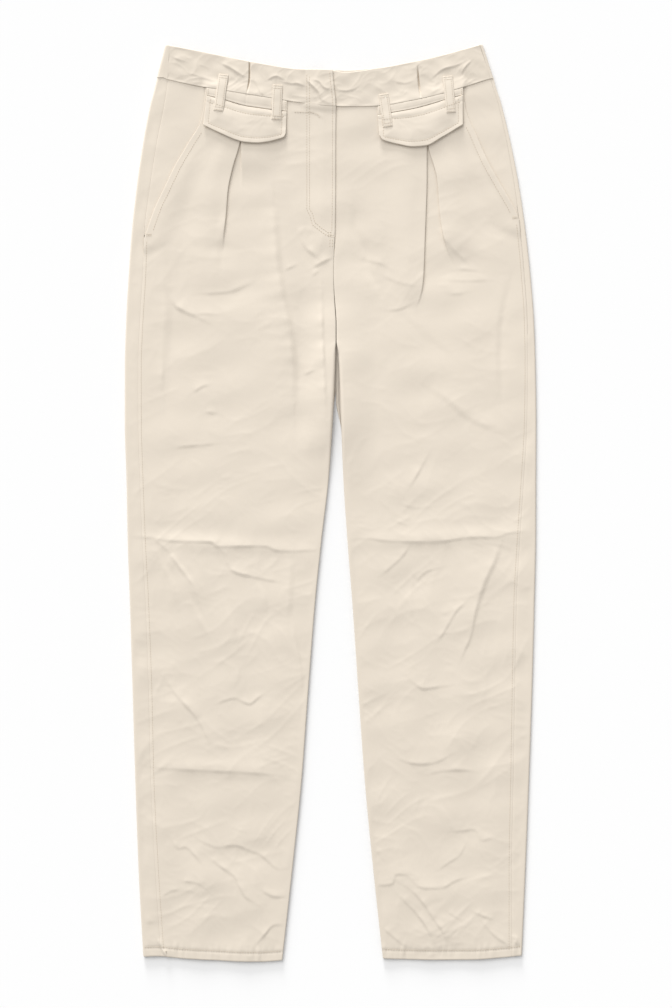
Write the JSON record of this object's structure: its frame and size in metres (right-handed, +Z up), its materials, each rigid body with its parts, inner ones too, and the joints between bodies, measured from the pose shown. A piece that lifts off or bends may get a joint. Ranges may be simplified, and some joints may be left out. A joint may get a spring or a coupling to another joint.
{
  "type": "chino trousers",
  "caption": "Tapered high-waist chino trousers laid flat, with inverted pleats, slant pockets, flapped welts and belt loops.",
  "frame": {"origin": "middle of the underside's bounding box, on the surface that the trousers lie on", "axes": "+X to the wearer's left, +Y to the waist, +Z up, the way that the front faces"},
  "size_m": [0.453, 1.0096, 0.0101],
  "materials": {
    "twill": "matte cotton twill"
  },
  "bodies": {
    "root": {"front_right": "twill", "back_right": "twill", "pocket_side_right": "twill", "waistband_front_right": "twill", "welt_right": "twill", "flap_right": "twill", "front_left": "twill", "back_left": "twill", "pocket_side_left": "twill", "waistband_front_left": "twill", "welt_left": "twill", "flap_left": "twill", "waistband_back": "twill", "belt_loop_right_outer": "twill", "belt_loop_right_inner": "twill", "belt_loop_left_inner": "twill", "belt_loop_left_outer": "twill", "belt_loop_back_right": "twill", "belt_loop_back_centre": "twill", "belt_loop_back_left": "twill"}
  },
  "joints": []
}
